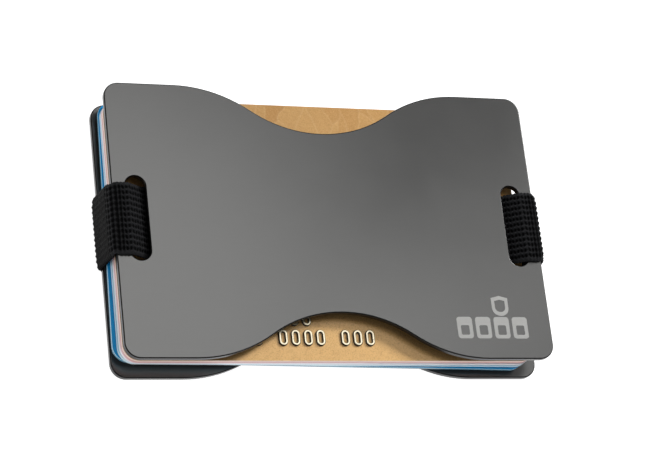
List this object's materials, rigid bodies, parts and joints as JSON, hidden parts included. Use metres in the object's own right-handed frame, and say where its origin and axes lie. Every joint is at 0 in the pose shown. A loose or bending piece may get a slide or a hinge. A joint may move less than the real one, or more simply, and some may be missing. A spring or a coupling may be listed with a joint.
{
  "type": "minimalist card wallet",
  "caption": "Two flat metal plates with thumb cut-outs, held face to face by a woven elastic band through end slots, clamping a stack of payment-size cards.",
  "frame": {"origin": "middle of the wallet's outline, in the plane that it lies on, the underside of the band's rear folds", "axes": "+Z out of the front plate, +X along the long edges, +Y along the short edges towards the edge away from the raised numerals"},
  "size_m": [0.0918, 0.0582, 0.0111],
  "materials": {
    "anodised_plate": "satin gunmetal anodised",
    "elastic_webbing": "woven elastic, matt",
    "sewing_thread": "twisted thread",
    "card_gold": "metallic gold laminate",
    "chip_contacts": "polished",
    "numeral_foil": "tipped foil",
    "magnetic_stripe": "satin oxide film",
    "signature_panel": "matt print",
    "card_rose": "gloss laminate",
    "card_white": "gloss laminate",
    "card_pale_blue": "gloss laminate",
    "card_dark_blue": "gloss laminate"
  },
  "bodies": {
    "rear_plate": {"rear_plate": "anodised_plate", "band_rear_run": "elastic_webbing", "band_seam_thread": "sewing_thread"},
    "band_side_walls": {"band_side_walls": "elastic_webbing"},
    "front_plate": {"front_plate": "anodised_plate", "band_front_run": "elastic_webbing"},
    "card_1_gold": {"card_1_gold": "card_gold", "card_1_gold_chip": "chip_contacts", "card_1_gold_numerals": "numeral_foil", "card_1_gold_stripe": "magnetic_stripe", "card_1_gold_signature_panel": "signature_panel"},
    "card_2_rose": {"card_2_rose": "card_rose"},
    "card_3_white": {"card_3_white": "card_white"},
    "card_4_pale_blue": {"card_4_pale_blue": "card_pale_blue"},
    "card_5_dark_blue": {"card_5_dark_blue": "card_dark_blue", "card_5_dark_blue_stripe": "magnetic_stripe", "card_5_dark_blue_signature_panel": "signature_panel"}
  },
  "joints": [
    {"name": "band_stretch", "type": "slide", "parent": "rear_plate", "child": "band_side_walls", "axis": [0.1087, 0.01, 0.994], "range_m": [0, 0.0051], "stiffness_N_per_m": 400, "springref_m": -0.006},
    {"name": "jaw_tilt", "type": "hinge", "parent": "band_side_walls", "child": "front_plate", "pos_m": [0.00038, 0.0267, 0.00885], "axis": [-1, 0, 0], "range_deg": [0, 8], "stiffness_Nm_per_rad": 0.29, "springref_deg": -11.46},
    {"name": "card_1_gold_slide", "type": "slide", "parent": "rear_plate", "child": "card_1_gold", "axis": [0, 1, 0], "range_m": [-0.056, 0.056]},
    {"name": "card_2_rose_slide", "type": "slide", "parent": "rear_plate", "child": "card_2_rose", "axis": [0, 1, 0], "range_m": [-0.056, 0.056]},
    {"name": "card_3_white_slide", "type": "slide", "parent": "rear_plate", "child": "card_3_white", "axis": [0.0035, 1, 0], "range_m": [-0.056, 0.056]},
    {"name": "card_4_pale_blue_slide", "type": "slide", "parent": "rear_plate", "child": "card_4_pale_blue", "axis": [0.007, 1, 0], "range_m": [-0.056, 0.056]},
    {"name": "card_5_dark_blue_slide", "type": "slide", "parent": "rear_plate", "child": "card_5_dark_blue", "axis": [0.0192, 0.9998, 0], "range_m": [-0.056, 0.056]}
  ]
}
